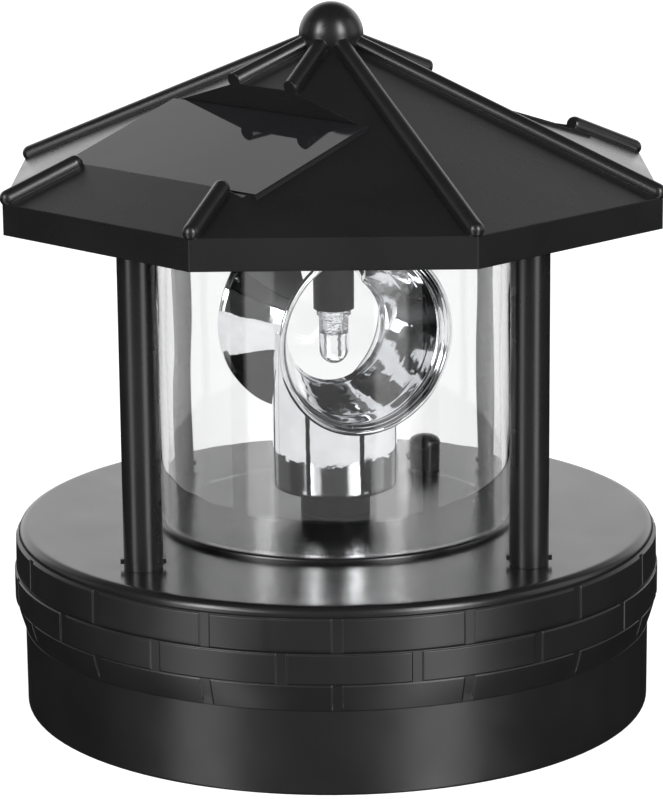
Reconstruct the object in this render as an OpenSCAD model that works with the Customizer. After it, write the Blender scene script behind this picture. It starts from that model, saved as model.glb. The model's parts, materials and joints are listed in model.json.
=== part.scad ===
// Solar lamp head shaped like the top of a lighthouse.
// A small motor turns a two-sided reflector round a fixed bulb, under an eight-sided solar roof.
// The front is -Y. An azimuth is counted from the front towards +X.

/* [Base] */
// Radius of the lower drum, which plugs into a tower
drum_r = 52.76; // [52.7:0.02:52.8]
// Largest radius of the brick band
band_r = 54.35; // [54.3:0.05:54.5]
// Height of the lower edge of the brick band
band_z = 14.05; // [13.9:0.05:14.2]
// Height of the deck
deck_z = 31.05; // [30.9:0.05:31.2]
// Number of bricks in each row
bricks = 16; // [12:4:20]
// Wall thickness of the base mouldings
wall = 1.6; // [1.4:0.1:1.6]

/* [Lantern] */
// Outer radius of the clear cylinder
lens_r = 29.4; // [29:0.1:29.6]
// Wall thickness of the clear cylinder
lens_wall = 1.3; // [1:0.1:1.5]
// Distance of the posts from the axis
post_ring_r = 43.7; // [43:0.1:44]
// Radius of a post
post_r = 3.16; // [3.1:0.02:3.3]

/* [Reflector] */
// Azimuth that the front horn faces
spin_az = 28; // [0:0.5:90]
// Height of the horns' axis
horn_z = 63.45; // [63.2:0.05:63.7]
// Distance from the lamp axis to the rim of a horn
horn_len = 11.7; // [11:0.1:12]
// Outer radius of a horn's rim
rim_r = 16.1; // [15.8:0.1:16.5]
// Inner radius where the two horns meet
throat_r = 8.9; // [8.6:0.1:9.2]
// Outer radius of the upright tube
tube_r = 10.5; // [10.3:0.1:10.6]

/* [Roof] */
// Distance from the axis to a corner of the eave
eave_r = 56.86; // [56.5:0.02:57]
// Height of the lower edge of the roof
eave_z = 83.75; // [83.6:0.05:83.9]
// Height of the upright rim of the roof
fascia_h = 5.1; // [5:0.1:5.4]
// Height of the point where the eight slopes meet
apex_z = 112.65; // [112.4:0.05:112.8]
// Radius of the ball on top
ball_r = 5.3; // [5.2:0.1:5.5]

/* [Solar panels] */
// Width of a solar panel along the roof's edge
panel_w = 44.4; // [44:0.1:45]
// Length of a solar panel down the slope
panel_l = 25.2; // [25:0.1:25.6]
// Slope of a solar panel
panel_tilt = 17.4; // [17:0.1:18]

/* [Gear train] */
// Gear module
gear_m = 0.5; // [0.5:0.01:0.5]
// Teeth on each large wheel
wheel_teeth = 48; // [48:1:48]
// Teeth on each small pinion
pinion_teeth = 12; // [12:1:12]
// Radius of the steel axle pins
pin_r = 1; // [0.95:0.01:1]

/* [Hidden] */
$fn = 96;
eps = 0.01;
fit_gap = 0.05;        // running clearance on a radius
loose_gap = 0.3;       // clearance round a part that lifts out

black = "#1e1e20";
dark = "#28282b";
steel = "#b9bcc2";

// ---------- base ----------
floor_t = 2.4;                     // tray floor
edge_round = 0.6;                  // rounding of the drum's lower edge
tray_top = 27;                     // top of the tray wall, inside the cover
tray_step = 0.65;                  // how far the wall is set in above the brick band's lower edge
deck_t = 2;
deck_under = deck_z - deck_t;
cover_in_r = drum_r - 0.2;         // inside of the brick band
row_z = [band_z, 18.65, 23.75, 29.35];  // levels between the rows of bricks
row_r = [[drum_r + 0.2, band_r - 0.25], [band_r, band_r], [band_r - 0.25, band_r - 0.25]];
lip_r_out = 53.5;                  // radius of the plain lip above the bricks
brick_rise = 0.3;                  // how far a brick stands out
joint_w = 1.7;                     // width of the upright joints
bed_w = 0.35;                      // width of the level joints
row_shift = 13.25;                 // turn of the middle row, degrees
lip_round = 1.4;                   // rounding of the deck's edge

base_screw_az = [60, 180, 300];
base_screw_r = 45.5;
screw_hole_top = 26;
boss_split = 16.9;                 // where tray bosses meet cover bosses

// ---------- battery bay ----------
cell_r = 7.1;
cell_l = 49;
cell_y = -25;
cell_z = 9.6;
bay_x = 28.4;                      // half length inside
bay_y = 7.9;                       // half width inside
bay_top = 17.4;
door_x = 30.4;                     // half length of the door
door_y = 9.9;                      // half width of the door
door_z = [0.3, 1.7];               // underside and top of the door
ear_r = 3.6;
ear_out = 13.2;                    // door screws, from the cell's axis
door_screw_r = 1.0;

// ---------- switch and circuit board ----------
board_c = [-31, 9];                // middle of the board
board_size = [24, 26];
board_z = 6.2;
board_t = 1.4;
board_holes = [[-9.6, 10.6], [9.6, -10.6]];
switch_c = [-33, 11];
switch_travel = 3;
stem = [3, 2];

// ---------- gear train ----------
gear_gap = gear_m * (wheel_teeth + pinion_teeth) / 2;
axis_one = [0, gear_gap];
axis_two = [gear_gap, gear_gap];
axis_motor = [gear_gap, 2 * gear_gap];
pressure_angle = 25;
addendum = 0.9 * gear_m;
dedendum = 1.15 * gear_m;
backlash = 0.1;
frame_low_z = 14.8;                // underside of the lower plate
frame_t = 1.4;
level_c = 17;
level_b = 20;
level_a = 23;
wheel_t = 2.2;
pinion_over = 0.4;
frame_up_z = 26.2;
pillars = [[-14.8, -5], [14.8, -5], [-14.8, 26], [29.8, 24.5]];
pillar_r = 2.4;
motor_r = 12.2;
motor_z = 3;
shaft_top = 20.4;
motor_hole_x = 8.5;

// ---------- lantern ----------
post_az = [-45, 45, -135, 135];
ceiling_z = 84.95;                  // underside of the ceiling
ceiling_t = 1.8;
post_bore = 1.9;
spigot_r = 2.55;
hub_r = 5.85;
hub_z = 32;
tube_z = 36.4;                     // lower edge of the reflector tube
spindle_r = 3;
stub_r = 1.5;
horn_t = 0.8;
horn_steps = 10;
led_hole_r = 5.4;
led_r = 2.5;
led_tip = 57.35;
led_base = 66.75;
holder_r = 3.4;
holder_bore = 2.6;
disc_r = 31.7;                     // raised disc that the clear cylinder stands in
disc_h = 0.55;
disc_round = 1.8;                  // width of the disc's rounded edge
groove_d = 1.2;                    // depth of the cylinder's groove below the deck
hood_az = 151;
hood_ring_r = 34.2;                // distance of the hood from the axis
hood_r = 2.84;
hood_wall_h = 4.85;                // height of the hood's straight side
hood_top_h = 1.5;                  // height of its domed top

// ---------- roof ----------
facet_d = eave_r * cos(22.5);      // distance of a flat side
rim_z = eave_z + fascia_h;
slope = atan((apex_z - rim_z) / facet_d);
ridge_slope = atan((apex_z - rim_z) / eave_r);
roof_t = 1.8;
rib_r = 1.35;
rib_lift = 0.4;
panel_az = [-45, 135];
panel_d = 26.85;                   // panel centre from the axis
panel_z = 97.6;                     // height of the panel's upper face there
board_thick = 1.1;
cover_thick = 0.5;
seat_edge = 0.3;
recess_low = 1.2;                  // space below the panel's lower edge
recess_h = 14;
roof_screw_r = 38;
roof_screw_az = [0, 90, 180, 270];

// ================= helpers =================
module at_az(a, r = 0, z = 0) {
    rotate([0, 0, a]) translate([0, -r, z]) children();
}

module at_xy(p, z = 0) {
    translate([p[0], p[1], z]) children();
}

module tube(r_out, r_in, h) {
    difference() {
        cylinder(r = r_out, h = h);
        translate([0, 0, -1]) cylinder(r = r_in, h = h + 2);
    }
}

module block(x, y, z) {
    translate([x[0], y[0], z[0]]) cube([x[1] - x[0], y[1] - y[0], z[1] - z[0]]);
}

// Points of an arc about c, from angle a0 to a1
function arc(c, r, a0, a1, n = 8) =
    [for (i = [0:n]) c + r * [cos(a0 + (a1 - a0) * i / n), sin(a0 + (a1 - a0) * i / n)]];

// A plate with round corners, between two opposite corners
module rounded_plate(low, high, r, t) {
    linear_extrude(t) {
        translate([low[0] + r, low[1]]) square([high[0] - low[0] - 2 * r, high[1] - low[1]]);
        translate([low[0], low[1] + r]) square([high[0] - low[0], high[1] - low[1] - 2 * r]);
        for (x = [low[0] + r, high[0] - r], y = [low[1] + r, high[1] - r])
            translate([x, y]) circle(r);
    }
}

// A pan-head screw that points up, with its head's upper face at z = 0
module screw(head_r, head_h, shank_r, shank_l) {
    difference() {
        union() {
            translate([0, 0, -head_h]) cylinder(r1 = head_r * 0.8, r2 = head_r, h = head_h / 2);
            translate([0, 0, -head_h / 2 - eps]) cylinder(r = head_r, h = head_h / 2 + eps);
            translate([0, 0, -eps]) cylinder(r = shank_r, h = shank_l);
        }
        for (a = [0, 90])
            rotate([0, 0, a]) block([-head_r * 0.6, head_r * 0.6], [-0.2, 0.2],
                                    [-head_h - 1, -head_h * 0.45]);
    }
}

// A round wire swept through a list of points
wire_sides = 8;
first_side = [0.36, 0.31, 0.88];   // no wire starts along this direction
function unit(v) = v / norm(v);
function wire_run(points, i) =
    let (last = len(points) - 1, a = max(i, 1), b = min(i, last - 1))
    unit(unit(points[a] - points[a - 1]) + unit(points[b + 1] - points[b]));
function wire_side(points, i) =
    let (run = wire_run(points, i), before = i == 0 ? first_side : wire_side(points, i - 1))
    unit(before - (before * run) * run);
function wire_ring(points, i, r) =
    let (side = wire_side(points, i), up = cross(wire_run(points, i), side))
    [for (j = [0:wire_sides - 1])
        points[i] + r * (cos(j * 360 / wire_sides) * side + sin(j * 360 / wire_sides) * up)];

module wire(points, r) {
    last = len(points) - 1;
    polyhedron([for (i = [0:last]) each wire_ring(points, i, r)], concat(
        [[for (j = [0:wire_sides - 1]) j]],
        [for (i = [0:last - 1], j = [0:wire_sides - 1])
            [i * wire_sides + j, (i + 1) * wire_sides + j,
             (i + 1) * wire_sides + (j + 1) % wire_sides, i * wire_sides + (j + 1) % wire_sides]],
        [[for (j = [wire_sides - 1:-1:0]) last * wire_sides + j]]));
}

// ================= gears =================
function pitch_r(n) = gear_m * n / 2;
function base_r(n) = pitch_r(n) * cos(pressure_angle);
function root_r(n) = pitch_r(n) - dedendum;
function inv(a) = tan(a) * 180 / PI - a;
function half_tooth(n, r) =
    90 / n - backlash / 4 / pitch_r(n) * 180 / PI + inv(pressure_angle) - inv(acos(base_r(n) / r));
function flank(n) =
    let (low = max(base_r(n), root_r(n)), high = pitch_r(n) + addendum)
    [for (i = [0:3]) let (r = low + (high - low) * i / 3) [r, half_tooth(n, r)]];
function polar(r, a) = r * [cos(a), sin(a)];
function tooth(n, a) =
    let (f = flank(n), low = min(root_r(n), base_r(n)))
    concat([polar(low, a - f[0][1])],
           [for (i = [0:3]) polar(f[i][0], a - f[i][1])],
           [for (i = [3:-1:0]) polar(f[i][0], a + f[i][1])],
           [polar(low, a + f[0][1])]);

// Gear with one tooth centred on azimuth `turn`, counted from +X
module gear(n, t, turn, bore) {
    linear_extrude(t) difference() {
        polygon([for (i = [0:n - 1]) each tooth(n, turn + i * 360 / n)]);
        circle(bore, $fn = 48);
    }
}

function gap_turn(n, a) = a + 180 / n;

// ================= base =================
module boss_holes(z0, z1, r) {
    for (a = base_screw_az) at_az(a, base_screw_r, z0) cylinder(r = r, h = z1 - z0, $fn = 32);
}

module tray_profile() {
    polygon(concat([[0, 0]], arc([drum_r - edge_round, edge_round], edge_round, -90, 0),
                   [[drum_r, band_z], [drum_r - tray_step, band_z], [drum_r - tray_step, tray_top],
                    [drum_r - wall, tray_top], [drum_r - wall, floor_t], [0, floor_t]]));
}

module door_outline(grow, z0, z1) {
    translate([0, cell_y, z0]) linear_extrude(z1 - z0) {
        square([2 * (door_x + grow), 2 * (door_y + grow)], center = true);
        for (s = [-1, 1]) translate([0, s * ear_out]) circle(ear_r + grow);
        square([2 * (ear_r + grow), 2 * ear_out], center = true);
    }
}

module door_screw_axes(z) {
    for (s = [-1, 1]) translate([0, cell_y + s * ear_out, z]) children();
}

module base_tray() {
    color(dark) difference() {
        union() {
            rotate_extrude($fn = 180) tray_profile();
            boss_holes(1, boss_split, 4.2);
            block([-bay_x - wall, bay_x + wall], [cell_y - bay_y - wall, cell_y + bay_y + wall],
                  [1, bay_top + wall]);
            door_screw_axes(1) cylinder(r = 2.8, h = 8, $fn = 48);
            for (h = board_holes) at_xy(board_c + h, 1) cylinder(r = 2, h = board_z - 1, $fn = 32);
        }
        block([-bay_x, bay_x], [cell_y - bay_y, cell_y + bay_y], [-1, bay_top]);
        door_outline(loose_gap, -1, 1.9);
        door_screw_axes(0) cylinder(r = door_screw_r + 0.06, h = 8, $fn = 32);
        boss_holes(-1, 6, 3);
        boss_holes(5, boss_split + 1, 1.4);
        for (h = board_holes) at_xy(board_c + h, 3.2) cylinder(r = 0.8, h = 5, $fn = 24);
        // finger recess and slot for the switch
        at_xy(switch_c - [7, 4.5], -1) rounded_plate([0, 0], [14, 9], 2, 2.3);
        at_xy(switch_c) block([-(switch_travel + stem[0]) / 2 - 0.35, (switch_travel + stem[0]) / 2 + 0.35],
                              [-stem[1] / 2 - 0.35, stem[1] / 2 + 0.35], [-1, 4]);
    }
}

module cover_profile() {
    polygon(concat([[0, deck_under], [cover_in_r, deck_under], [cover_in_r, band_z],
                    [row_r[0][0] - brick_rise, band_z]],
                   [for (row = [0:2], end = [0, 1])
                       [row_r[row][end] - brick_rise, row_z[row + end] + (end == 0 ? eps : 0)]],
                   [[lip_r_out, row_z[3] + eps]],
                   arc([lip_r_out - lip_round, deck_z - lip_round], lip_round, 0, 90),
                   [[0, deck_z]]));
}

// One row of bricks: a ring with upright joints cut out of it
module brick_row(row, turn) {
    low = row_r[row][0];
    high = row_r[row][1];
    difference() {
        rotate_extrude($fn = 180) polygon([
            [low - brick_rise - 0.05, row_z[row] + eps], [low, row_z[row] + eps],
            [high, row_z[row + 1] - bed_w], [high - brick_rise - 0.05, row_z[row + 1] - bed_w]]);
        for (i = [0:bricks - 1])
            at_az(turn + i * 360 / bricks, band_r, row_z[row])
                block([-joint_w / 2, joint_w / 2], [-2, 3], [-1, 7]);
    }
}

module post_axes(z) {
    for (a = post_az) at_az(a, post_ring_r, z) children();
}

module base_cover() {
    color(black) difference() {
        union() {
            rotate_extrude($fn = 180) cover_profile();
            for (row = [0:2]) brick_row(row, row == 1 ? row_shift : 0);
            boss_holes(boss_split + 0.1, deck_under + eps, 3.2);
            for (p = pillars)
                at_xy(p, frame_up_z + frame_t) cylinder(r = 3, h = deck_under - frame_up_z - frame_t + eps,
                                                        $fn = 48);
            translate([0, 0, deck_z - eps]) rotate_extrude($fn = 180) polygon(concat([[0, 0]],
                [for (a = [90:-9:0]) [disc_r - disc_round + disc_round * sin(a), disc_h * cos(a)]],
                [[0, disc_h]]));
        }
        // groove for the clear cylinder's lower edge
        translate([0, 0, deck_z - groove_d])
            tube(lens_r + fit_gap, lens_r - lens_wall - fit_gap, groove_d + disc_h + 1);
        boss_holes(boss_split - 1, screw_hole_top, 1.1);
        for (p = pillars) at_xy(p, frame_up_z) cylinder(r = 1, h = 29.9 - frame_up_z, $fn = 32);
        post_axes(deck_under - 1) cylinder(r = spigot_r + fit_gap, h = 5, $fn = 48);
        translate([0, 0, deck_under - 1]) cylinder(r = 5, h = 5);
        at_az(hood_az, hood_ring_r, deck_under - 1) cylinder(r = 1.5, h = 5, $fn = 32);
        at_az(hood_az, hood_ring_r, deck_z) cylinder(r = hood_r + fit_gap, h = 5);
    }
}

module base_screws() {
    color(steel) for (a = base_screw_az) at_az(a, base_screw_r, 6) screw(2.6, 1.8, 1.1, 18);
}

module battery_door() {
    color(dark) difference() {
        union() {
            door_outline(0, door_z[0], door_z[1]);
            for (x = [-18, 18], s = [-1, 1])
                translate([x, cell_y + s * (bay_y - 1.5), door_z[1] - eps])
                    block([-1, 1], [-0.6, 0.6], [0, 0.7]);
        }
        door_screw_axes(-1) cylinder(r = door_screw_r, h = 4, $fn = 32);
        door_screw_axes(-1) cylinder(r = 2.2, h = 1.85, $fn = 32);
        for (x = [20:2:26])
            translate([x, cell_y, 0]) block([-0.4, 0.4], [-6, 6], [-1, 0.6]);
    }
}

module door_screws() {
    color(steel) door_screw_axes(0.85) screw(2, 0.5, door_screw_r, 6);
}

module battery_cell() {
    color("#3f7d4e") translate([-cell_l / 2, cell_y, cell_z]) rotate([0, 90, 0]) {
        rotate_extrude() polygon(concat([[0, 0], [cell_r - 0.5, 0]],
            arc([cell_r - 0.5, 0.5], 0.5, -90, 0, 4), arc([cell_r - 0.8, cell_l - 1.8], 0.8, 0, 90, 4),
            [[2.7, cell_l - 1], [2.7, cell_l], [0, cell_l]]));
    }
}

// Coil spring contact at the flat end of the cell
spring_turns = 4;
spring_steps = 14;
spring_wire = 0.35;
spring_r = [4.6, 3];               // coil radius at the plate and at the cell
spring_x = [-bay_x + 0.9, -cell_l / 2 - 0.4];
function coil_point(k) =
    let (r = spring_r[0] + k * (spring_r[1] - spring_r[0]), turn = 360 * k * spring_turns)
    [spring_x[0] + k * (spring_x[1] - spring_x[0]), cell_y + r * cos(turn), cell_z + r * sin(turn)];

module cell_spring() {
    count = spring_turns * spring_steps;
    color(steel) {
        wire([for (i = [0:count]) coil_point(i / count)], spring_wire);
        translate([-bay_x, cell_y, cell_z]) block([0, 0.5], [-6.5, 6.5], [-6.5, 6.5]);
    }
}

module cell_plate() {
    color(steel) {
        translate([bay_x, cell_y, cell_z]) block([-0.5, 0], [-6.5, 6.5], [-6.5, 6.5]);
        translate([cell_l / 2 + 0.05, cell_y, cell_z]) rotate([0, 90, 0])
            cylinder(r = 2.5, h = bay_x - cell_l / 2 - 0.5, $fn = 48);
    }
}

// ================= switch, board =================
module circuit_board() {
    color("#2f6b45") difference() {
        at_xy(board_c, board_z) rounded_plate(-board_size / 2, board_size / 2, 1, board_t);
        for (h = board_holes) at_xy(board_c + h, board_z - 1) cylinder(r = 0.9, h = 4, $fn = 24);
    }
}

module board_components() {
    top = board_z + board_t;
    color("#303236") {
        at_xy(board_c + [-6, -4], top) block([-2.5, 2.5], [-2, 2], [0, 1.5]);
        at_xy(board_c + [3.5, 5.5], top) cylinder(r = 3, h = 4.5, $fn = 48);
        at_xy(board_c + [4.5, -5], top) cylinder(r = 2.5, h = 6.5, $fn = 48);
        for (i = [0:3]) at_xy(board_c + [-8 + i * 3, 3], top) block([-0.8, 0.8], [-0.5, 0.5], [0, 0.6]);
        at_xy(board_c + [-3, 9], top) block([-2.2, 2.2], [-1.6, 1.6], [0, 3.6]);
    }
}

module board_screws() {
    color(steel) for (h = board_holes) at_xy(board_c + h, board_z + board_t)
        mirror([0, 0, 1]) screw(1.7, 1, 0.8, 4);
}

module switch_body() {
    color(steel) at_xy(switch_c) difference() {
        block([-4.8, 4.8], [-2.4, 2.4], [floor_t + 0.1, board_z]);
        block([-3.4, 3.4], [-1.35, 1.35], [floor_t - 1, board_z - 0.8]);
    }
}

module switch_slider() {
    color("#e8e8e6") at_xy(switch_c - [switch_travel / 2, 0]) {
        block([-stem[0] / 2, stem[0] / 2], [-stem[1] / 2, stem[1] / 2], [0.5, 4.7]);
        block([-stem[0] / 2, stem[0] / 2], [-1.3, 1.3], [3.2, 4.7]);
    }
}

// ================= motor and gears =================
module motor_can() {
    color(steel) at_xy(axis_motor) difference() {
        union() {
            translate([0, 0, motor_z]) rotate_extrude() polygon(concat([[0, 0]],
                arc([motor_r - 1, 1], 1, -90, 0, 4), arc([motor_r - 0.8, frame_low_z - motor_z - 0.8], 0.8, 0, 90, 4),
                [[0, frame_low_z - motor_z]]));
            translate([0, 0, frame_low_z - eps]) cylinder(r = 3, h = 1.2);
        }
        translate([0, 0, motor_z + 1]) cylinder(r = pin_r + fit_gap, h = 20, $fn = 48);
        for (s = [-1, 1]) translate([s * motor_hole_x, 0, frame_low_z - 3]) cylinder(r = 0.9, h = 5, $fn = 24);
    }
}

module motor_screws() {
    color(steel) for (s = [-1, 1]) at_xy(axis_motor + [s * motor_hole_x, 0], frame_low_z + frame_t)
        mirror([0, 0, 1]) screw(1.7, 1.1, 0.9, 3.8);
}

module motor_shaft() {
    color(steel) at_xy(axis_motor, motor_z + 1.6) cylinder(r = pin_r, h = shaft_top - motor_z - 1.6, $fn = 48);
}

module motor_pinion() {
    color("#e4e2da") at_xy(axis_motor, level_c - pinion_over)
        gear(pinion_teeth, wheel_t + 2 * pinion_over, gap_turn(pinion_teeth, 270), pin_r);
}

// A wheel with its pinion on top, on one pin
module double_gear(p, level, wheel_turn, pinion_turn, foot_r, foot_z, head_z) {
    bore = pin_r + fit_gap;
    at_xy(p) {
        translate([0, 0, level]) gear(wheel_teeth, wheel_t, wheel_turn, bore);
        translate([0, 0, level + wheel_t - eps])
            gear(pinion_teeth, level_b - level_c - wheel_t + wheel_t + pinion_over + eps, pinion_turn, bore);
        translate([0, 0, foot_z]) tube(foot_r, bore, level - foot_z + eps);
        head_start = level + 2 * wheel_t + (level_b - level_c - wheel_t) + pinion_over;
        translate([0, 0, head_start - eps]) tube(1.9, bore, head_z - head_start);
    }
}

frame_low_top = frame_low_z + frame_t;

module gear_one() {
    color("#dcd8cc") double_gear(axis_one, level_b, 0, gap_turn(pinion_teeth, 270), 1.9,
                                 frame_low_top + 0.1, frame_up_z - 0.1);
}

module gear_two() {
    color("#cfd6de") double_gear(axis_two, level_c, 90, gap_turn(pinion_teeth, 180), 2.2,
                                 frame_low_top + 0.1, frame_up_z - 0.1);
}

module output_gear() {
    color("#e4e2da") translate([0, 0, level_a]) gear(wheel_teeth, wheel_t, 90, stub_r + 0.7);
}

module frame_plate(y_top, z) {
    translate([0, 0, z]) rounded_plate([-17.6, -7.8], [32.6, y_top], 3, frame_t);
}

module gear_frame_lower() {
    color("#e9e6dc") difference() {
        union() {
            frame_plate(36, frame_low_z);
            for (p = pillars) at_xy(p, frame_low_top - eps)
                cylinder(r = pillar_r, h = frame_up_z - frame_low_top + eps, $fn = 48);
        }
        for (p = pillars) at_xy(p, frame_low_z - 1) cylinder(r = 1.05, h = 20, $fn = 32);
        for (p = [axis_one, axis_two]) at_xy(p, frame_low_z - 1) cylinder(r = pin_r, h = 5, $fn = 48);
        translate([0, 0, frame_low_z - 1]) cylinder(r = stub_r + fit_gap, h = 5, $fn = 48);
        at_xy(axis_motor, frame_low_z - 1) cylinder(r = 3.05, h = 5);
        for (s = [-1, 1]) at_xy(axis_motor + [s * motor_hole_x, 0], frame_low_z - 1)
            cylinder(r = 1, h = 5, $fn = 24);
    }
}

module gear_frame_upper() {
    color("#e9e6dc") difference() {
        frame_plate(28.6, frame_up_z);
        for (p = pillars) at_xy(p, frame_up_z - 1) cylinder(r = 1.05, h = 5, $fn = 32);
        for (p = [axis_one, axis_two]) at_xy(p, frame_up_z - 1) cylinder(r = pin_r, h = 5, $fn = 48);
        translate([0, 0, frame_up_z - 1]) cylinder(r = spindle_r + 0.4, h = 5, $fn = 48);
    }
}

module gear_frame_screws() {
    color(steel) for (p = pillars) at_xy(p, frame_low_z) screw(2, 1.3, 0.98, 14.9);
}

module axle_pins() {
    color(steel) for (p = [axis_one, axis_two])
        at_xy(p, frame_low_z) cylinder(r = pin_r, h = frame_up_z + frame_t - frame_low_z, $fn = 48);
}

// ================= turning lamp parts =================
module spindle() {
    color(black) rotate_extrude() polygon([[0, frame_low_z], [stub_r, frame_low_z], [stub_r, level_a - 0.3],
        [stub_r + 0.7, level_a - 0.3], [stub_r + 0.7, level_a + wheel_t + 0.1],
        [spindle_r, level_a + wheel_t + 0.1], [spindle_r, hub_z], [hub_r, hub_z], [hub_r, tube_z + 1.2],
        [tube_r - 1.05, tube_z + 1.2], [tube_r - 1.05, tube_z + 3], [3, tube_z + 3], [3, tube_z + 6],
        [0, tube_z + 6]]);
}

module spindle_bush() {
    color("#b98d4a") translate([0, 0, deck_under - 0.6]) difference() {
        union() {
            cylinder(r = 5, h = deck_t + 0.6);
            cylinder(r = 6, h = 0.6);
        }
        translate([0, 0, -1]) cylinder(r = spindle_r + fit_gap, h = 5);
    }
}

// Inner radius of a horn at distance s from the lamp axis: a parabola with the bulb at its focus
horn_in_r = rim_r - horn_t - 0.2;
function horn_r(s) = sqrt(pow(throat_r, 2) + (pow(horn_in_r, 2) - pow(throat_r, 2)) * s / horn_len);

module along_horn() {
    translate([0, 0, horn_z]) rotate([90, 0, 0]) children();
}

lip_r = 0.55;
tube_t = 1;

module horn_outside() {
    body = [for (i = [0:horn_steps - 1]) let (s = horn_len * i / horn_steps) [horn_r(s) + horn_t, s]];
    along_horn() rotate_extrude() polygon(concat([[0, 0]], body,
        arc([rim_r - lip_r, horn_len - lip_r], lip_r, -45, 90, 6), [[0, horn_len]]));
}

module horn_inside() {
    curve = [for (i = [0:horn_steps]) let (s = horn_len * i / horn_steps) [horn_r(s), s]];
    along_horn() rotate_extrude() polygon(concat([[0, -1], [throat_r, -1]], curve,
        [[horn_in_r, horn_len + 1], [0, horn_len + 1]]));
}

module half_tube() {
    difference() {
        translate([0, 0, tube_z]) rotate_extrude() polygon(concat([[tube_r - tube_t, 0]],
            arc([tube_r - 0.7, 0.7], 0.7, -90, 0, 6),
            [[tube_r, horn_z - tube_z], [tube_r - tube_t, horn_z - tube_z]]));
        block([-20, 20], [0, 20], [0, 90]);
    }
}

// One moulded half: a horn and the half of the tube on its side
module reflector_half() {
    difference() {
        union() {
            horn_outside();
            half_tube();
        }
        horn_inside();
        translate([0, 0, horn_z]) rotate([0, 0, 60]) cylinder(r = led_hole_r, h = 40);
    }
}

module reflector_front() {
    color("#d5d7da") rotate([0, 0, spin_az]) reflector_half();
}

module reflector_rear() {
    color("#c9cbcf") rotate([0, 0, spin_az + 180]) reflector_half();
}

// ================= lantern =================
module lens_cylinder() {
    color([0.85, 0.92, 0.95, 0.35]) translate([0, 0, deck_z - groove_d])
        tube(lens_r, lens_r - lens_wall, ceiling_z + 0.8 - deck_z + groove_d, $fn = 180);
}

module post(a) {
    color(black) at_az(a, post_ring_r) rotate([0, 0, -a]) difference() {
        union() {
            translate([0, 0, deck_z]) cylinder(r = post_r, h = ceiling_z - deck_z);
            translate([0, 0, deck_under - 0.6]) cylinder(r = spigot_r, h = ceiling_z + 3 - deck_under + 0.6);
            for (s = [-1, 1]) translate([s * post_r, 0, deck_z + 0.8])
                block([-0.5, 0.5], [-0.6, 0.6], [0, 0.8]);
        }
        translate([0, 0, deck_under - 2]) cylinder(r = post_bore, h = 70, $fn = 48);
    }
}

// Upright axis of the hood, with +X kept to the right
module hood_axis(z) {
    at_az(hood_az, hood_ring_r, z) rotate([0, 0, -hood_az]) children();
}

module deck_hood() {
    color(black) hood_axis(deck_z) {
        rotate_extrude() polygon(concat([[0, 0], [hood_r, 0]],
            [for (a = [0:7.5:90]) [hood_r * cos(a), hood_wall_h + hood_top_h * sin(a)]]));
        translate([-hood_r, 0, 2.3]) sphere(0.75, $fn = 32);
        translate([0, 0, -deck_t]) cylinder(r = 1.5, h = deck_t + 0.1, $fn = 32);
    }
}

// ================= roof =================
// Everything below the eight slopes, which are lowered by `drop`
module under_slopes(drop) {
    intersection_for (i = [0:7]) rotate([0, 0, i * 45])
        translate([0, -facet_d, rim_z - drop]) rotate([slope, 0, 0])
            block([-90, 90], [-30, 110], [-120, 0]);
}

module octagon(r, z0, z1) {
    translate([0, 0, z0]) rotate([0, 0, 22.5]) cylinder(r = r, h = z1 - z0, $fn = 8);
}

module roof_body() {
    intersection() {
        octagon(eave_r, eave_z, apex_z + 1);
        under_slopes(0);
    }
}

// Half-round rib on a ridge, between two distances from the axis
module ridge_rib(a, from, to) {
    lift = rib_lift / cos(ridge_slope);
    z_from = apex_z - from * tan(ridge_slope) + lift;
    length = (to - from) / cos(ridge_slope);
    at_az(a, from, z_from) rotate([90 + ridge_slope, 0, 0]) {
        cylinder(r = rib_r, h = length, $fn = 48);
        sphere(rib_r, $fn = 48);
        translate([0, 0, length]) sphere(rib_r, $fn = 48);
    }
}

module ridge_ribs() {
    for (i = [0:7]) {
        a = 22.5 + i * 45;
        cut = i == 2 || i == 3 || i == 6 || i == 7;
        ridge_rib(a, 3, cut ? 17 : eave_r - 0.95);
        if (cut) ridge_rib(a, 44.6, eave_r - 0.95);
    }
}

// Children are drawn on a panel's upper face: +Y runs up the slope
module on_panel(a) {
    at_az(a, panel_d, panel_z) rotate([panel_tilt, 0, 0]) children();
}

module panel_block(grow, low, high, z0, z1) {
    block([-panel_w / 2 - grow, panel_w / 2 + grow], [-panel_l / 2 - low, panel_l / 2 + high], [z0, z1]);
}

seat_z = -board_thick - cover_thick;

module roof_shell() {
    color(black) difference() {
        union() {
            difference() {
                union() {
                    roof_body();
                    ridge_ribs();
                    translate([0, 0, apex_z - 0.1]) sphere(ball_r);
                }
                intersection() {
                    octagon(eave_r - wall / cos(22.5), eave_z - 1, apex_z);
                    under_slopes(roof_t);
                }
            }
            intersection() {
                roof_body();
                union() {
                    for (a = panel_az) on_panel(a)
                        panel_block(wall, recess_low + wall, wall, seat_z - wall, recess_h);
                    for (a = roof_screw_az)
                        at_az(a, roof_screw_r, ceiling_z + ceiling_t) cylinder(r = 3.2, h = 12, $fn = 48);
                }
            }
            for (a = panel_az) on_panel(a)
                panel_block(seat_edge, seat_edge, seat_edge, seat_z - wall, -0.2);
        }
        for (a = panel_az) on_panel(a) {
            panel_block(seat_edge + 0.05, recess_low, 0.3, -0.2, recess_h);
            panel_block(0.05, 0.05, 0.05, seat_z, 1);
            translate([0, 0, seat_z - 4]) cylinder(r = 1.6, h = 6, $fn = 32);
        }
        for (a = roof_screw_az)
            at_az(a, roof_screw_r, ceiling_z) cylinder(r = 1.1, h = 6.4, $fn = 32);
    }
}

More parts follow.
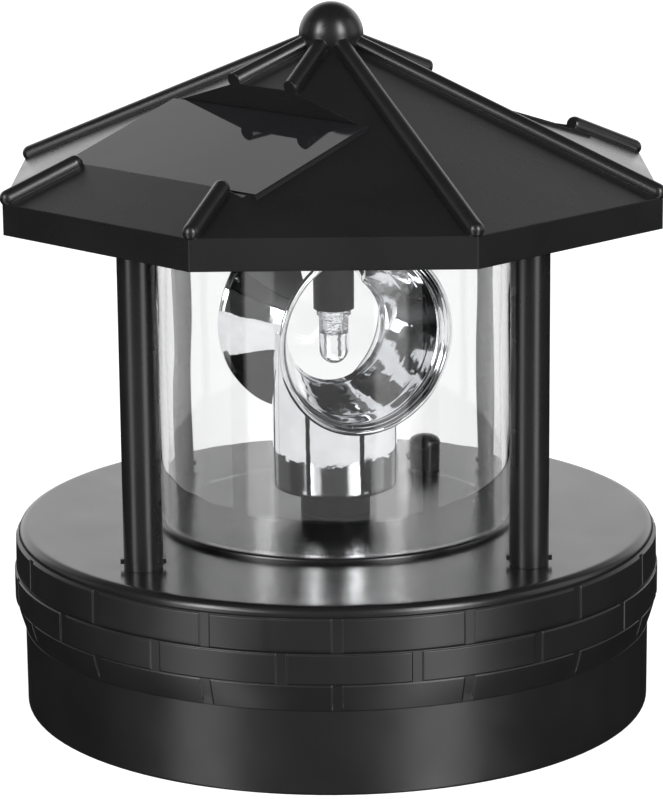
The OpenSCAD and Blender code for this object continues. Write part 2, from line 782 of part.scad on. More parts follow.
module roof_ceiling() {
    color(dark) difference() {
        union() {
            octagon(eave_r - (wall + 0.25) / cos(22.5), ceiling_z, ceiling_z + ceiling_t);
            post_axes(ceiling_z + ceiling_t - eps) cylinder(r = 4, h = 1.4, $fn = 48);
        }
        // groove for the clear cylinder's upper edge
        translate([0, 0, ceiling_z - 1]) difference() {
            cylinder(r = lens_r + 0.15, h = 1.85, $fn = 180);
            translate([0, 0, -1]) cylinder(r = lens_r - lens_wall - 0.15, h = 4, $fn = 180);
        }
        post_axes(ceiling_z - 1) cylinder(r = spigot_r + fit_gap, h = 6, $fn = 48);
        for (a = roof_screw_az)
            at_az(a, roof_screw_r, ceiling_z - 1) cylinder(r = 1.3, h = 5, $fn = 32);
        translate([0, 0, ceiling_z - 1]) cylinder(r = holder_bore, h = 5, $fn = 48);
    }
}

module roof_screws() {
    color(steel) for (a = roof_screw_az) at_az(a, roof_screw_r, ceiling_z) screw(2.4, 1.3, 1.1, 6.2);
}

module solar_panel(a) {
    color("#23262e") on_panel(a) panel_block(0, 0, 0, seat_z, -cover_thick);
}

module solar_cover(a) {
    color("#5b5d61") on_panel(a) panel_block(0, 0, 0, -cover_thick, 0);
}

// ================= bulb =================
module led_holder() {
    color(black) difference() {
        union() {
            translate([0, 0, led_base]) cylinder(r = holder_r, h = ceiling_z - led_base, $fn = 64);
            translate([0, 0, ceiling_z - 1]) cylinder(r = 6, h = 1, $fn = 64);
        }
        translate([0, 0, led_base - 1]) cylinder(r = holder_bore, h = 30, $fn = 48);
    }
}

module led_bulb() {
    color([0.93, 0.95, 0.97, 0.6]) rotate_extrude($fn = 64) polygon(concat(
        arc([0, led_tip + led_r], led_r, -90, 0),
        [[led_r, led_base - 1], [led_r + 0.4, led_base - 1], [led_r + 0.4, led_base],
         [holder_bore - 0.05, led_base], [holder_bore - 0.05, led_base + 0.6], [0, led_base + 0.6]]));
}

module led_leads() {
    color(steel) for (s = [-1, 1]) translate([s * 1.27, 0, led_base + 0.6])
        block([-0.25, 0.25], [-0.25, 0.25], [0, 8]);
}

// ================= wires =================
wire_r = 0.45;
rear_post = [-30.9, 30.9];
function in_post(x, y, z) = [rear_post[0] + x, rear_post[1] + y, z];

// Routes: the two panels' leads and the bulb's lead go down the rear left post to the board
roof_routes = [
    [[-18.7, -18.7, 95.95], [-18.1, -18.1, 92.35], [-26, 10, 88.95], in_post(0.8, 0, 88.75),
     in_post(0.8, 0, 27), [-31, 24, 13], [-29, 20.8, 8.2]],
    [[18.7, 18.7, 95.95], [18.1, 18.1, 92.35], [-10, 28, 90.35], in_post(-0.4, 0.7, 90.35),
     in_post(-0.4, 0.7, 27), [-34, 24, 13], [-31.5, 20.8, 8.2]],
    [[0, 0, 76.35], [0, 0, 88.75], [-14, 12, 89.35], in_post(-0.4, -0.7, 89.55), in_post(-0.4, -0.7, 27),
     [-36, 22, 13], [-37.4, 18, 8.2]]];

module roof_wires() {
    color("#a33a32") for (route = roof_routes) wire(route, wire_r);
}

// Routes: the motor's and the battery's leads to the board
base_routes = [
    [[4, 36, 5], [-4, 34, 5], [-16, 22, 12], [-22, 12, 12], [-24, 8, 8.1]],
    [[2.6, 32.5, 7], [-5, 31, 7], [-16, 18, 13.5], [-21, 6, 12], [-22.4, 2, 8.1]],
    [[-30.6, -25, 9.6], [-33, -23, 10], [-34, -12, 10], [-33, -2, 8.1]],
    [[30.6, -25, 9.6], [32, -14, 10.4], [20, -12.5, 10.4], [-12, -12.5, 10.4], [-24, -8, 10.4],
     [-26, -2, 8.1]]];

module base_wires() {
    color("#3a3f8c") for (route = base_routes) wire(route, wire_r);
}

base_tray();
base_cover();
base_screws();
battery_door();
door_screws();
battery_cell();
cell_spring();
cell_plate();
circuit_board();
board_components();
board_screws();
switch_body();
switch_slider();
motor_can();
motor_screws();
motor_shaft();
motor_pinion();
gear_frame_lower();
gear_frame_upper();
gear_frame_screws();
axle_pins();
gear_one();
gear_two();
output_gear();
spindle();
spindle_bush();
reflector_front();
reflector_rear();
lens_cylinder();
post(-45);  // post_front_left
post(45);  // post_front_right
post(-135);  // post_rear_left
post(135);  // post_rear_right
deck_hood();
roof_shell();
roof_ceiling();
roof_screws();
solar_panel(-45);  // solar_panel_front
solar_cover(-45);  // solar_cover_front
solar_panel(135);  // solar_panel_rear
solar_cover(135);  // solar_cover_rear
led_holder();
led_bulb();
led_leads();
roof_wires();
base_wires();
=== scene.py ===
"""Looks of a solar lighthouse lamp head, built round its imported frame."""
import json
import math

import bpy
import bmesh
from mathutils import Matrix, Vector


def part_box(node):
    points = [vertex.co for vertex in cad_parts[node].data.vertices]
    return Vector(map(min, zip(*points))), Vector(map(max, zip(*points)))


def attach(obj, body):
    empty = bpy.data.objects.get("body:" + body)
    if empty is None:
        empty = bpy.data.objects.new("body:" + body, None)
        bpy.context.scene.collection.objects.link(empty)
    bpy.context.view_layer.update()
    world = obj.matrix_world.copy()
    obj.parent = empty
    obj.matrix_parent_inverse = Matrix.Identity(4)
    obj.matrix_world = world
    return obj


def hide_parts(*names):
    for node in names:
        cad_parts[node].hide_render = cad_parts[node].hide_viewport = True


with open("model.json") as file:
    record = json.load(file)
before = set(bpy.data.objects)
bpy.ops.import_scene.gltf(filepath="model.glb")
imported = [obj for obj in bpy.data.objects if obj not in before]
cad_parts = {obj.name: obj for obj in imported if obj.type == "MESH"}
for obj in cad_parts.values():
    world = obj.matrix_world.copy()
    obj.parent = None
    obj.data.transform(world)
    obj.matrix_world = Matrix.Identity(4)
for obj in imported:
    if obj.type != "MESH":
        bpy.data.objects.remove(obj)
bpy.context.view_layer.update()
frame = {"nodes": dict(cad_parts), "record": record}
nodes = frame["nodes"]

# ---------------------------------------------------------------- camera
CAMERA_PLACE = (-0.000516, -0.548758, 0.185651)
CAMERA_DOWN = math.radians(13.794)      # how far the view tips below level
CAMERA_ROLL = math.radians(-0.565)
CAMERA_LENS = 151.62                    # mm, on a 36 mm sensor


def add_camera():
    data = bpy.data.cameras.new("camera")
    data.lens = CAMERA_LENS
    data.sensor_width = 36
    data.clip_start = 0.01
    data.clip_end = 20
    camera = bpy.data.objects.new("camera", data)
    bpy.context.scene.collection.objects.link(camera)
    ahead = Vector((0, math.cos(CAMERA_DOWN), -math.sin(CAMERA_DOWN)))
    right = Vector((1, 0, 0))
    up = right.cross(ahead)
    rolled_right = math.cos(CAMERA_ROLL) * right + math.sin(CAMERA_ROLL) * up
    rolled_up = -math.sin(CAMERA_ROLL) * right + math.cos(CAMERA_ROLL) * up
    turn = Matrix((rolled_right, rolled_up, -ahead)).transposed()
    camera.matrix_world = Matrix.Translation(CAMERA_PLACE) @ turn.to_4x4()
    bpy.context.scene.camera = camera


# ---------------------------------------------------------------- material helpers
NOISE_LOW = 0.3                         # most values of a noise lie between these two
NOISE_HIGH = 0.7
PLASTIC_GRAIN = 0.0000016               # height of the finest bumps, metres
METAL_GRAIN = 0.0000015


class Nodes:
    """A short way to write a node tree."""

    def __init__(self, name):
        self.material = bpy.data.materials.new(name)
        self.material.use_nodes = True
        self.tree = self.material.node_tree
        self.shader = self.tree.nodes["Principled BSDF"]
        self.output = self.tree.nodes["Material Output"]

    def add(self, kind, **values):
        node = self.tree.nodes.new(kind)
        for key, value in values.items():
            setattr(node, key, value)
        return node

    def link(self, out, into):
        self.tree.links.new(out, into)

    def set(self, **values):
        for key, value in values.items():
            self.shader.inputs[key.replace("_", " ")].default_value = value

    def noise(self, scale, detail):
        """Noise over object coordinates in metres."""
        place = self.add("ShaderNodeTexCoord")
        node = self.add("ShaderNodeTexNoise")
        node.inputs["Scale"].default_value = scale
        node.inputs["Detail"].default_value = detail
        node.inputs["Roughness"].default_value = 0.5
        self.link(place.outputs["Object"], node.inputs["Vector"])
        return node.outputs["Fac"]

    def ranged(self, value, low, high):
        """Spreads a noise over the range from low to high."""
        node = self.add("ShaderNodeMapRange")
        node.inputs["From Min"].default_value = NOISE_LOW
        node.inputs["From Max"].default_value = NOISE_HIGH
        node.inputs["To Min"].default_value = low
        node.inputs["To Max"].default_value = high
        self.link(value, node.inputs["Value"])
        return node.outputs["Result"]

    def mixed(self, value, first, second):
        node = self.add("ShaderNodeMix", data_type="RGBA")
        node.inputs["A"].default_value = (*first, 1)
        node.inputs["B"].default_value = (*second, 1)
        self.link(value, node.inputs["Factor"])
        return node.outputs["Result"]

    def bump(self, heights, edge=0.0):
        """heights: pairs of value socket and height in metres, stacked; edge: radius that softens corners."""
        last = None
        if edge:
            soft = self.add("ShaderNodeBevel", samples=4)
            soft.inputs["Radius"].default_value = edge
            last = soft.outputs["Normal"]
        for value, height in heights:
            node = self.add("ShaderNodeBump")
            node.inputs["Strength"].default_value = 1.0
            node.inputs["Distance"].default_value = height
            self.link(value, node.inputs["Height"])
            if last is not None:
                self.link(last, node.inputs["Normal"])
            last = node.outputs["Normal"]
        self.link(last, self.shader.inputs["Normal"])


def moulded_plastic(name, dark, light, rough, wave=0.00004, ior=1.5, edge=0.0):
    """Injection-moulded plastic: uneven gloss, a fine grain and slow sink marks of height wave."""
    n = Nodes(name)
    n.set(IOR=ior)
    n.link(n.mixed(n.ranged(n.noise(45, 4), 0, 1), dark, light), n.shader.inputs["Base Color"])
    n.link(n.ranged(n.noise(110, 5), rough[0], rough[1]), n.shader.inputs["Roughness"])
    n.bump([(n.noise(60, 1), wave), (n.noise(5200, 2), PLASTIC_GRAIN)], edge=edge)
    return n.material


def metal(name, colour, rough):
    """Metal whose tint and gloss vary a little."""
    n = Nodes(name)
    n.set(Metallic=1.0)
    tint = tuple(c * 0.86 for c in colour)
    n.link(n.mixed(n.ranged(n.noise(300, 4), 0, 1), tint, colour), n.shader.inputs["Base Color"])
    n.link(n.ranged(n.noise(500, 4), rough[0], rough[1]), n.shader.inputs["Roughness"])
    n.bump([(n.noise(2500, 2), METAL_GRAIN)])
    return n.material


def mirror_plate():
    """Vacuum-plated plastic: a bright mirror whose surface waves a little."""
    n = Nodes("mirror_plate")
    n.set(Metallic=1.0)
    n.link(n.mixed(n.ranged(n.noise(160, 3), 0, 1), (0.72, 0.73, 0.75), (0.84, 0.85, 0.86)),
           n.shader.inputs["Base Color"])
    n.link(n.ranged(n.noise(260, 4), 0.02, 0.055), n.shader.inputs["Roughness"])
    n.bump([(n.noise(150, 2), 0.00009), (n.noise(900, 2), 0.000009)])
    return n.material


def clear_plastic():
    """Polished acrylic, a little grey, with a slow wave."""
    n = Nodes("clear_plastic")
    n.set(IOR=1.49, Transmission_Weight=1.0, Base_Color=(0.905, 0.907, 0.907, 1))
    n.link(n.ranged(n.noise(90, 3), 0.0, 0.02), n.shader.inputs["Roughness"])
    n.bump([(n.noise(40, 1), 0.00002)])
    return n.material


def led_epoxy(name, ior, rough, wave):
    """Cast resin; a rough one with a high wave looks cloudy."""
    n = Nodes(name)
    n.set(IOR=ior, Transmission_Weight=1.0, Base_Color=(0.96, 0.97, 0.98, 1))
    n.link(n.ranged(n.noise(600, 2), rough[0], rough[1]), n.shader.inputs["Roughness"])
    n.bump([(n.noise(900, 1), wave)])
    return n.material


def solar_cover():
    """Clear cover over dark cells: a strong even reflection on a nearly black ground."""
    n = Nodes("solar_cover")
    n.set(IOR=1.85)
    n.link(n.mixed(n.ranged(n.noise(30, 3), 0, 1), (0.009, 0.009, 0.010), (0.014, 0.014, 0.016)),
           n.shader.inputs["Base Color"])
    n.link(n.ranged(n.noise(70, 3), 0.03, 0.06), n.shader.inputs["Roughness"])
    n.bump([(n.noise(50, 2), 0.00004)])
    return n.material


DARK_TONE = (0.006, 0.006, 0.0065)
LIGHT_TONE = (0.0085, 0.0085, 0.009)
BLACK = moulded_plastic("black_plastic", DARK_TONE, LIGHT_TONE, (0.24, 0.32), edge=0.00025)
DECK = moulded_plastic("deck_plastic", DARK_TONE, LIGHT_TONE, (0.21, 0.26))
BRICK = moulded_plastic("brick_plastic", DARK_TONE, LIGHT_TONE, (0.3, 0.38), wave=0.00008)
DRUM = moulded_plastic("dark_plastic", DARK_TONE, LIGHT_TONE, (0.27, 0.36))
# painted shade: a darker, less glossy copy of the black plastic for the black pieces inside the cylinder
SHADED_BLACK = moulded_plastic("shaded_black_plastic", (0.004, 0.004, 0.0045), (0.006, 0.006, 0.0065), (0.42, 0.5), ior=1.3)
MIRROR = mirror_plate()
CLEAR = clear_plastic()
EPOXY = led_epoxy("led_epoxy", 1.53, (0.02, 0.06), 0.000006)
CLOUDY = led_epoxy("cloudy_epoxy", 1.2, (0.1, 0.3), 0.00012)
COVER = solar_cover()
STEEL = metal("steel", (0.62, 0.62, 0.64), (0.22, 0.36))
FRAME_METAL = metal("frame_metal", (0.3, 0.3, 0.31), (0.3, 0.45))
BRONZE = metal("bronze_bush", (0.62, 0.42, 0.2), (0.3, 0.45))
NYLON = moulded_plastic("gear_nylon", (0.62, 0.6, 0.54), (0.7, 0.68, 0.62), (0.38, 0.5))
CELLS = moulded_plastic("solar_cells", (0.012, 0.015, 0.03), (0.02, 0.024, 0.045), (0.2, 0.3))
WRAP = moulded_plastic("cell_wrap", (0.02, 0.16, 0.05), (0.03, 0.2, 0.07), (0.2, 0.28))
BOARD = moulded_plastic("board_green", (0.012, 0.09, 0.03), (0.02, 0.12, 0.045), (0.35, 0.45))
CHIP = moulded_plastic("component_black", (0.012, 0.012, 0.012), (0.02, 0.02, 0.02), (0.45, 0.6))
WHITE = moulded_plastic("switch_white", (0.6, 0.6, 0.58), (0.68, 0.68, 0.66), (0.35, 0.45))
RED = moulded_plastic("wire_red", (0.3, 0.015, 0.01), (0.38, 0.025, 0.015), (0.35, 0.45))
BLUE = moulded_plastic("wire_blue", (0.015, 0.03, 0.25), (0.02, 0.04, 0.32), (0.35, 0.45))

SLOTS = {
    "black_plastic": BLACK, "dark_plastic": DRUM, "clear_plastic": CLEAR, "led_epoxy": EPOXY,
    "mirror_plate": MIRROR, "steel": STEEL, "bronze_bush": BRONZE, "gear_nylon": NYLON,
    "solar_cells": CELLS, "solar_cover": COVER, "cell_wrap": WRAP, "board_green": BOARD,
    "component_black": CHIP, "switch_white": WHITE, "wire_red": RED, "wire_blue": BLUE,
}
SHADED_INNER_PIECES = ("spindle", "led_holder")   # black pieces inside the cylinder; painted shade: they get a darker, less glossy copy of the black plastic


def dress_cad_nodes():
    for row in frame["record"]["subparts"]:
        # pieces inside the cylinder take the darker copy of the black plastic as painted shade
        material = SHADED_BLACK if row["node"] in SHADED_INNER_PIECES else SLOTS[row["material_slot"]]
        for place in nodes[row["node"]].material_slots:
            place.material = material


# ---------------------------------------------------------------- pieces made here
MM = 0.001


def new_piece(name, build, material, body, node, sharp):
    """A finished mesh that rides on a body, and stands for a CAD node if one is named.

    Edges that turn by more than `sharp` degrees stay sharp.
    """
    mesh = bpy.data.meshes.new(name)
    bmesh.ops.recalc_face_normals(build, faces=build.faces)
    build.to_mesh(mesh)
    build.free()
    for polygon in mesh.polygons:
        polygon.use_smooth = True
    mesh.set_sharp_from_angle(angle=math.radians(sharp))
    mesh.materials.append(material)
    piece = bpy.data.objects.new(name, mesh)
    bpy.context.scene.collection.objects.link(piece)
    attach(piece, body)
    if node:
        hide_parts(node)
    return piece


def grid_faces(build, rows, close_rows=False):
    """Joins closed rows of points into a skin of quads, and the last row to the first if asked."""
    made = [[build.verts.new(point) for point in row] for row in rows]
    count, width = len(made), len(made[0])
    for i in range(count if close_rows else count - 1):
        a, b = made[i], made[(i + 1) % count]
        for j in range(width):
            build.faces.new((a[j], a[(j + 1) % width], b[(j + 1) % width], b[j]))
    return made


def closed_tube(build, rows):
    """A skin through closed rows of points, with a face over each end."""
    made = grid_faces(build, rows)
    build.faces.new(made[0])
    build.faces.new(list(reversed(made[-1])))


def compass(azimuth):
    """The unit step (x, y) at an azimuth in degrees from the front (-Y) towards +X."""
    return math.sin(math.radians(azimuth)), -math.cos(math.radians(azimuth))


def smooth_step(low, high, value):
    t = min(max((value - low) / (high - low), 0.0), 1.0)
    return t * t * (3 - 2 * t)


# ---- base cover: deck, rounded lip and three rows of bricks; sizes in mm, most of them as in CAD
DECK_Z = 31.05
DECK_UNDER = 29.05
BORE_R = 5.0                            # hole in the deck for the spindle's bush
LENS_R = 29.4
LENS_WALL = 1.3
DISC_R = 30.3                           # raised disc under the cylinder: smaller, higher, steeper than CAD's
DISC_H = 0.92
DISC_ROUND = 0.85
DISC_SQUARE = 0.6                       # below 1 its edge is squarer than a quarter ellipse
BAND_Z = 14.05
BAND_FOOT_R = 52.9
BAND_IN_R = (52.56, 52.4)               # inside of the band, below and above
LIP_R = 53.5
LIP_ROUND = 1.4
ROW_Z = (BAND_Z, 18.65, 23.75, 29.35)
ROW_R = ((52.82, 54.1), (54.35, 54.35), (54.1, 54.0))
ROW_TURN = (0.0, 13.25, 0.0)            # degrees
LOW_ROW_CURVE = 1.25                    # above 1 the lowest row bulges
BRICKS = 16
BRICK_STEP = 360 / BRICKS               # degrees
BRICK_UNEVEN = 0.03                     # how far bricks differ in depth
JOINT_HALF = 0.85
JOINT_DEPTH = 0.2
JOINT_FADE = 1.5                        # height over which upright joints fade out at the band's foot
BED_HALF = 0.16
BED_SHARE = 0.8                         # depth of the level joints against the upright ones


def band_radius(azimuth, z):
    """Radius of the brick band in mm at an azimuth in degrees and a height in mm."""
    if z >= ROW_Z[3]:
        plain = LIP_R
        return plain + (ROW_R[2][1] - JOINT_DEPTH - plain) * (1 - smooth_step(0, 0.12, z - ROW_Z[3]))
    row = 2 if z > ROW_Z[2] else 1 if z > ROW_Z[1] else 0
    share = (z - ROW_Z[row]) / (ROW_Z[row + 1] - ROW_Z[row])
    low, high = ROW_R[row]
    if row == 0:
        share = 1 - (1 - share) ** LOW_ROW_CURVE
    radius = low + (high - low) * share
    off = (azimuth - ROW_TURN[row] + BRICK_STEP / 2) % BRICK_STEP - BRICK_STEP / 2
    number = round((azimuth - ROW_TURN[row] - off) / BRICK_STEP) % BRICKS
    across = abs(math.radians(off)) * radius
    upright = 1 - smooth_step(JOINT_HALF - 0.1, JOINT_HALF + 0.12, across)
    edge = min(z - ROW_Z[row], ROW_Z[row + 1] - z) if row else ROW_Z[1] - z
    level = 1 - smooth_step(BED_HALF - 0.1, BED_HALF + 0.14, edge)
    side = 1 if off > 0 else 0
    proud = BRICK_UNEVEN * math.sin(5.3 * (number + side) + 2.1 * row)
    depth = JOINT_DEPTH * (1 if row else smooth_step(0, JOINT_FADE, z - BAND_Z))
    return radius + proud * (1 - max(upright, level)) - depth * max(upright, level * BED_SHARE)


def around_positions():
    """Azimuths in degrees, close together beside the upright joints."""
    places = {round(i * 0.75, 4) for i in range(480)}
    for turn in set(ROW_TURN):
        for i in range(BRICKS):
            for out in (0.55, 0.7, 0.76, 0.82, 0.88, 0.94, 1.0, 1.1, 1.3):
                for sign in (-1, 1):
                    spot = turn + i * BRICK_STEP + sign * math.degrees(out / 54)
                    places.add(round(spot % 360, 4))
    return sorted(places)


def band_levels():
    """Heights up to the lip's rounding, close together beside the level joints."""
    levels = {ROW_Z[0], DECK_Z - LIP_ROUND}
    for edge in ROW_Z[1:]:
        for off in (-0.8, -0.4, -0.3, -0.24, -0.18, -0.12, -0.06, 0.0, 0.06, 0.12, 0.18, 0.24, 0.3):
            levels.add(round(edge + off, 4))
    levels |= {round(BAND_Z + 0.5 * i, 4) for i in range(1, 31)}
    return sorted(z for z in levels if z <= DECK_Z - LIP_ROUND)


def add_base_cover():
    build = bmesh.new()
    places = around_positions()
    rows = []
    turns = [compass(a) for a in places]

    def ring(radius, z):
        rows.append([(radius * x * MM, radius * y * MM, z * MM) for x, y in turns])

    for radius in (BORE_R, 15.0, 25.0):
        ring(radius, DECK_Z + DISC_H)
    for i in range(21):
        a = math.radians(90 * i / 20)
        out, up = math.sin(a) ** DISC_SQUARE, math.cos(a) ** DISC_SQUARE
        ring(DISC_R - DISC_ROUND + DISC_ROUND * out, DECK_Z + DISC_H * up)
    for radius in (35.0, 45.0, 50.5, LIP_R - LIP_ROUND - 0.5):
        ring(radius, DECK_Z)
    for i in range(13):
        a = math.radians(90 - 90 * i / 12)
        ring(LIP_R - LIP_ROUND + LIP_ROUND * math.cos(a), DECK_Z - LIP_ROUND + LIP_ROUND * math.sin(a))
    for z in reversed(band_levels()[:-1]):
        rows.append([(band_radius(a, z) * x * MM, band_radius(a, z) * y * MM, z * MM)
                     for a, (x, y) in zip(places, turns)])
    ring(BAND_FOOT_R, BAND_Z - 0.02)
    ring(BAND_IN_R[0], BAND_Z)
    ring(BAND_IN_R[1], DECK_UNDER)
    ring(BORE_R, DECK_UNDER)
    grid_faces(build, rows, close_rows=True)
    skin = new_piece("cover_skin", build, DECK, "housing", "base_cover", sharp=50)
    skin.data.materials.append(BRICK)
    brick_top = (ROW_Z[3] + 0.2) * MM
    for polygon in skin.data.polygons:
        if polygon.center.z < brick_top:
            polygon.material_index = 1


# ---- reflector halves; sizes in mm, most of them as in CAD
HORN_Z = 63.45
HORN_LEN = 11.7
HORN_WALL = 0.8
RIM_R = 16.1
THROAT_R = 8.9
MOUTH_R = 15.1
TUBE_R = 10.5
TUBE_WALL = 1.0
TUBE_ROUND = 0.7                        # rounding of its lower edge, on the outside
TUBE_Z = 36.4
SPIN = 28                               # azimuth that the front horn faces, degrees
HALF_GAP = 0.04                         # half the gap between the two halves
BEAD_R = 0.42                           # bead round a horn's mouth
BULB_BORE_R = 5.4                       # hole over the bulb in the top of the horns


def horn_radius(s):
    """Inner radius at a distance s out from the lamp's axis: a paraboloid."""
    return math.sqrt(THROAT_R ** 2 + (MOUTH_R ** 2 - THROAT_R ** 2) * s / HORN_LEN)


def ridge(s, at, wide, high):
    return high * math.exp(-((s - at) / wide) ** 2)


def inner_radius(s):
    """The mirror inside a horn, with the faint turned rings of its mould."""
    rings = ridge(s, HORN_LEN - 1.0, 0.16, 0.16) - ridge(s, HORN_LEN - 1.6, 0.22, 0.10)
    rings += ridge(s, 8.1, 0.2, 0.02) + ridge(s, 4.9, 0.25, 0.012) + ridge(s, 0.9, 0.18, 0.03)
    return horn_radius(s) - rings


def horn_loop():
    """Cross-section of a horn's wall as (radius, distance out), a closed loop."""
    inside = [(inner_radius(HALF_GAP + (HORN_LEN - 0.5 - HALF_GAP) * i / 90),
               HALF_GAP + (HORN_LEN - 0.5 - HALF_GAP) * i / 90) for i in range(91)]
    lip = [(MOUTH_R + 0.02, HORN_LEN - 0.34), (MOUTH_R + 0.12, HORN_LEN - 0.26)]
    bead = []
    for i in range(19):
        a = math.radians(160 - 200 * i / 18)
        bead.append((RIM_R - BEAD_R + BEAD_R * math.cos(a), HORN_LEN - BEAD_R + BEAD_R * math.sin(a)))
    outside = [(horn_radius(s) + HORN_WALL, s)
               for s in [HORN_LEN - 1.0 - (HORN_LEN - 1.0 - HALF_GAP) * i / 40 for i in range(41)]]
    return inside + lip + bead + outside


def half_points(points, turn):
    """Points in mm, turned about the lamp's axis by an angle in degrees, in metres."""
    c, s = math.cos(math.radians(turn)), math.sin(math.radians(turn))
    return [((x * c - y * s) * MM, (x * s + y * c) * MM, z * MM) for x, y, z in points]


def horn_shell(build, turn):
    rows = []
    for i in range(192):
        a = 2 * math.pi * i / 192
        rows.append(half_points([(r * math.cos(a), -s, HORN_Z + r * math.sin(a))
                                 for r, s in horn_loop()], turn))
    grid_faces(build, rows, close_rows=True)


def tube_top(across, out):
    """Height where an upright wall meets the underside of the horn."""
    reach = horn_radius(out) + HORN_WALL * 0.6
    return HORN_Z - math.sqrt(max(reach ** 2 - across ** 2, 0.0))


def tube_shell(build, turn):
    rows = []
    steps = 96
    for i in range(steps + 1):
        a = math.radians(-90 + 180 * i / steps)
        points = []
        for radius, low_round in ((TUBE_R, TUBE_ROUND), (TUBE_R - TUBE_WALL, 0.0)):
            across, out = radius * math.sin(a), max(radius * math.cos(a), HALF_GAP)
            top = tube_top(across, out)
            wall = []
            if low_round:
                for k in range(9):
                    b = math.radians(-90 + 90 * k / 8)
                    r = radius - low_round + low_round * math.cos(b)
                    wall.append((r * math.sin(a), -max(r * math.cos(a), HALF_GAP),
                                 TUBE_Z + low_round + low_round * math.sin(b)))
                low = TUBE_Z + low_round
            else:
                low = TUBE_Z
                wall.append((across, -out, low))
            wall += [(across, -out, low + (top - low) * k / 24) for k in range(1, 25)]
            points += wall if low_round else wall[::-1]
        rows.append(half_points(points, turn))
    closed_tube(build, rows)


def bore_for_bulb(piece):
    """Cuts the round hole over the bulb in the top of a horn."""
    cutter = bmesh.new()
    depth = 30 * MM
    bmesh.ops.create_cone(cutter, cap_ends=True, segments=72, radius1=BULB_BORE_R * MM,
                          radius2=BULB_BORE_R * MM, depth=depth,
                          matrix=Matrix.Translation((0, 0, HORN_Z * MM + depth / 2)))
    mesh = bpy.data.meshes.new("bulb_bore")
    cutter.to_mesh(mesh)
    cutter.free()
    tool = bpy.data.objects.new("bulb_bore", mesh)
    bpy.context.scene.collection.objects.link(tool)
    cut = piece.modifiers.new("bore", "BOOLEAN")
    cut.operation = "DIFFERENCE"
    cut.solver = "EXACT"
    cut.object = tool
    bpy.context.view_layer.update()
    done = bpy.data.meshes.new_from_object(piece.evaluated_get(bpy.context.evaluated_depsgraph_get()))
    piece.modifiers.clear()
    piece.data = done
    bpy.data.objects.remove(tool)
    bpy.data.meshes.remove(mesh)


def add_reflector():
    for name, turn in (("front", SPIN), ("rear", SPIN + 180)):
        build = bmesh.new()
        horn_shell(build, turn)
        tube_shell(build, turn)
        piece = new_piece(f"mirror_{name}", build, MIRROR, "reflector", f"reflector_{name}",
                          sharp=40)
        bore_for_bulb(piece)


# ---- clear cylinder
WAVE_SHARE = (0.3, 1.0)                 # share of the wave on the outer and on the inner face


def lens_wave(azimuth, z):
    """How far the moulded wall strays from a true cylinder, in mm."""
    slow = 0.02 * math.sin(math.radians(5 * azimuth) + 0.05 * z)
    return slow + 0.006 * math.sin(math.radians(23 * azimuth) + 0.21 * z)


def add_lens():
    build = bmesh.new()
    foot, top = (corner[2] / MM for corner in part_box("lens_cylinder"))
    levels = [foot + (top - foot) * i / 48 for i in range(49)]
    wall = [(LENS_R, z, WAVE_SHARE[0]) for z in levels]
    wall += [(LENS_R - LENS_WALL, z, WAVE_SHARE[1]) for z in reversed(levels)]
    rows = []
    for i in range(240):
        azimuth = 360 * i / 240
        x, y = compass(azimuth)
        row = []
        for radius, z, share in wall:
            radius += share * lens_wave(azimuth, z)
            row.append((radius * x * MM, radius * y * MM, z * MM))
        rows.append(row)
    grid_faces(build, rows, close_rows=True)
    new_piece("lens_wall", build, CLEAR, "housing", "lens_cylinder", sharp=60)


# ---- lead frame inside the bulb
FRAME_POSTS = ((-0.95, 0.26), (0.62, 0.34))   # place and width of each post, mm
FRAME_POST_Z = (58.9, 63.2)
FRAME_DEEP = 0.4                              # depth of each post
FRAME_LEAN = 0.06                             # how far a post strays to the side
CORE_Z = (62.5, 66.4)
CORE_R = (1.7, 1.95)                          # radius of the cloudy plug, below and above


def add_led_frame():
    build = bmesh.new()
    low, high = FRAME_POST_Z
    for x, wide in FRAME_POSTS:
        half = FRAME_DEEP / 2
        corners = [(-wide / 2, -half), (wide / 2, -half), (wide / 2, half), (-wide / 2, half)]
        rows = []
        for k in range(9):
            z = low + (high - low) * k / 8
            lean = FRAME_LEAN * math.sin(2.4 * k + 9 * x)
            rows.append([((x + lean + a) * MM, b * MM, z * MM) for a, b in corners])
        closed_tube(build, rows)
    new_piece("led_frame", build, FRAME_METAL, "housing", None, sharp=30)


def add_led_core():
    """The cloudy plug that holds the lead frame in the upper part of the bulb."""
    build = bmesh.new()
    low, high = CORE_Z
    rows = []
    for k in range(25):
        z = low + (high - low) * k / 24
        row = []
        for i in range(40):
            a = 2 * math.pi * i / 40
            lump = 0.10 * math.sin(3 * a + 2.9 * k) + 0.07 * math.sin(7 * a - 4.7 * k + 1)
            radius = CORE_R[0] + (CORE_R[1] - CORE_R[0]) * k / 24 + lump
            row.append((radius * math.cos(a) * MM, radius * math.sin(a) * MM, z * MM))
        rows.append(row)
    closed_tube(build, rows)
    new_piece("led_core", build, CLOUDY, "housing", None, sharp=30)


# ---------------------------------------------------------------- studio
def add_stage():
    mesh = bpy.data.meshes.new("floor")
    build = bmesh.new()
    bmesh.ops.create_circle(build, cap_ends=True, segments=96, radius=6)
    build.to_mesh(mesh)
    build.free()
    floor = bpy.data.objects.new("floor", mesh)
    bpy.context.scene.collection.objects.link(floor)
    floor.visible_glossy = False
    n = Nodes("pale_floor")
    n.set(Roughness=0.9, Base_Color=(0.3, 0.3, 0.3, 1), Emission_Strength=1.0)
    n.shader.inputs["Specular IOR Level"].default_value = 0.0
    n.link(n.mixed(n.ranged(n.noise(0.6, 2), 0, 1), (0.93, 0.93, 0.93), (0.95, 0.95, 0.95)),
           n.shader.inputs["Emission Color"])
    mesh.materials.append(n.material)


